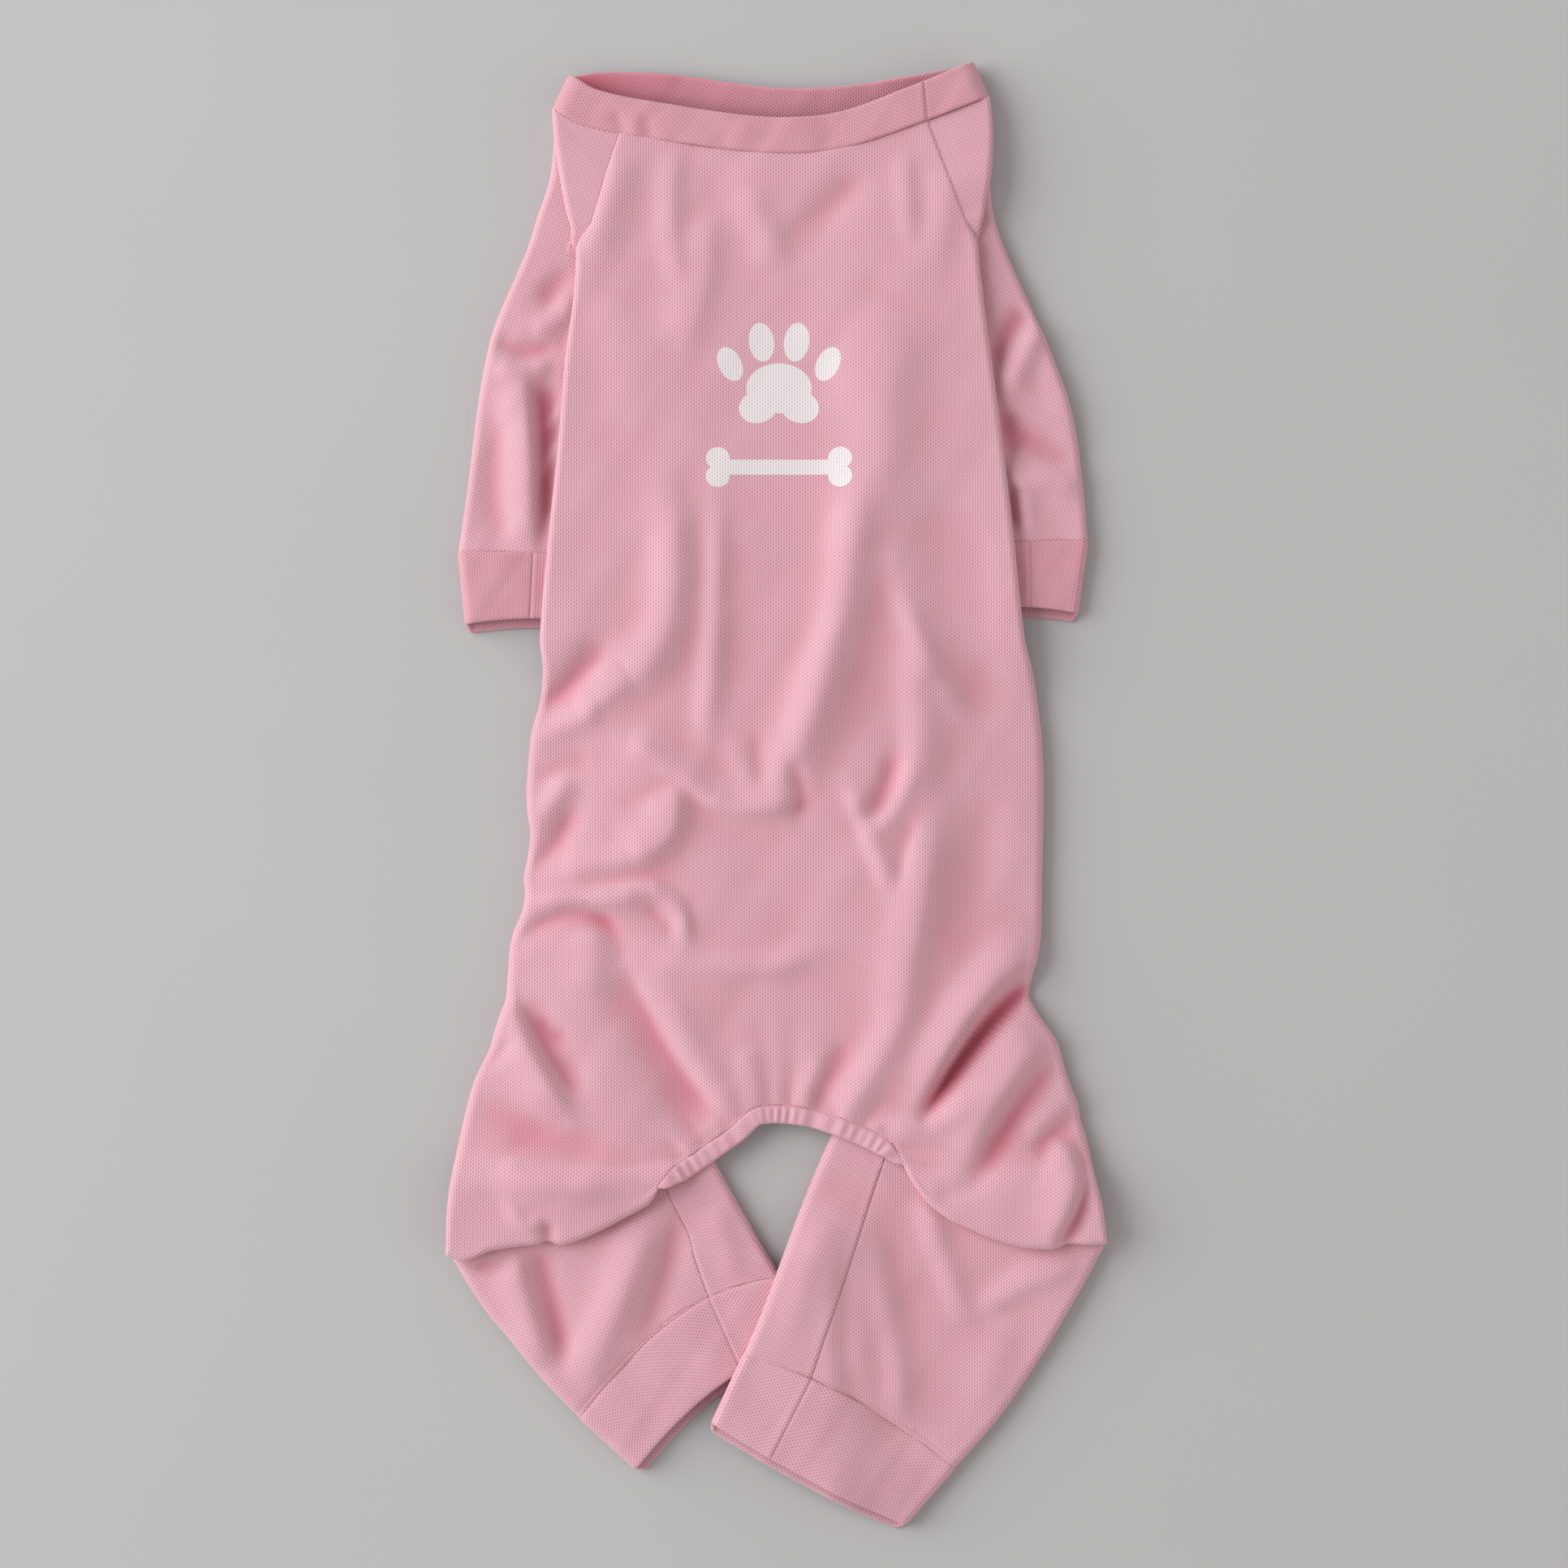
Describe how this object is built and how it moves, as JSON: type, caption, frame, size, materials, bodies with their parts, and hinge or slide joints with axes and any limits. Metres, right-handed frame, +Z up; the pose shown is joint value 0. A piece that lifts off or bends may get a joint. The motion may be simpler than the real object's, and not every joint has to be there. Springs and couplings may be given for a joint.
{
  "type": "dog jumpsuit",
  "caption": "Long-legged dog jumpsuit of knitted mesh, laid flat: raglan sleeves, neckband, doubled cuffs, open rump with a gathered elastic casing.",
  "frame": {"origin": "on the floor under the middle of the laid jumpsuit's bounding box", "axes": "+Z up from the floor, +Y towards the neck, +X towards the dog's right side, which is the picture's right"},
  "size_m": [0.3238, 0.7192, 0.0189],
  "materials": {
    "mesh_knit": "pink mesh knit with small staggered dimples, matt with a soft sheen",
    "band_knit": "the same pink knit folded double, slightly deeper in colour",
    "casing_knit": "pink knit gathered over elastic, one row of stitching"
  },
  "bodies": {
    "root": {"neckband": "band_knit", "back_panel": "mesh_knit", "belly_panel": "mesh_knit", "rump_casing": "casing_knit", "front_sleeve_left": "mesh_knit", "front_sleeve_right": "mesh_knit", "front_cuff_left": "band_knit", "front_cuff_right": "band_knit", "hind_leg_left": "mesh_knit", "hind_leg_right": "mesh_knit", "hind_cuff_left": "band_knit", "hind_cuff_right": "band_knit"}
  },
  "joints": []
}
